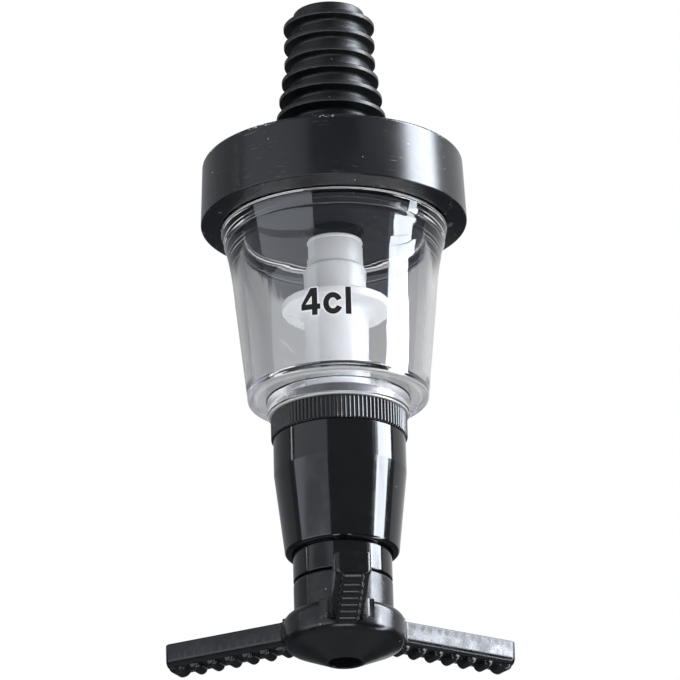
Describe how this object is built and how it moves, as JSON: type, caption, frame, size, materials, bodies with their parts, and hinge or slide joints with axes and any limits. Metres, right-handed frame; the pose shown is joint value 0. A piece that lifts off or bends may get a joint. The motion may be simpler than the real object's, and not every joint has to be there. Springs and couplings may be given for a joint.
{
  "type": "measured liquor pourer",
  "caption": "Bottle-mounted spirit measure: ribbed stopper, black cap, clear dosing chamber with white valve tube, and a sprung plunger with toothed arms that a glass lifts.",
  "frame": {"origin": "on the axis, at the middle of the three equal fins that grip the bottle's neck", "axes": "+Z along the axis, up into the upside-down bottle; -Y towards the front arm"},
  "size_m": [0.076, 0.0707, 0.1503],
  "materials": {
    "stopper_rubber": "matt moulded rubber",
    "cap_plastic": "satin black moulding with fine scuffs",
    "seal_rubber": "smooth seal rubber",
    "clear_plastic": "clear polished moulding",
    "light_plastic": "off-white moulding",
    "white_plastic": "white semi-gloss moulding",
    "nut_plastic": "black serrated moulding",
    "gloss_black": "gloss black moulding",
    "spring_steel": "bright stainless wire and strip"
  },
  "bodies": {
    "measure_body": {"bottle_stopper": "stopper_rubber", "top_cap": "cap_plastic", "inlet_gasket": "seal_rubber", "chamber_lid": "cap_plastic", "lid_gasket": "seal_rubber", "inlet_seal": "seal_rubber", "seal_retainer": "cap_plastic", "vent_valve": "seal_rubber", "chamber": "clear_plastic", "neck_washer": "light_plastic", "floor_seal": "seal_rubber", "guide_bush": "nut_plastic", "knurled_nut": "nut_plastic", "barrel": "gloss_black", "return_spring": "spring_steel"},
    "plunger": {"inlet_tip": "white_plastic", "plug_body": "white_plastic", "dose_disc": "white_plastic", "valve_tube": "white_plastic", "plunger_sleeve": "gloss_black", "spring_washer": "spring_steel", "tube_clip": "spring_steel", "snap_ring": "spring_steel"},
    "spider": {"arm_spider": "gloss_black"}
  },
  "joints": [
    {"name": "plunger_lift", "type": "slide", "parent": "measure_body", "child": "plunger", "axis": [0, 0, 1], "range_m": [0, 0.009], "stiffness_N_per_m": 500, "springref_m": -0.01, "deforming": ["return_spring"]},
    {"name": "spider_swivel", "type": "hinge", "parent": "plunger", "child": "spider", "pos_m": [0, 0, -0.12845], "axis": [0, 0, 1], "continuous": true}
  ]
}
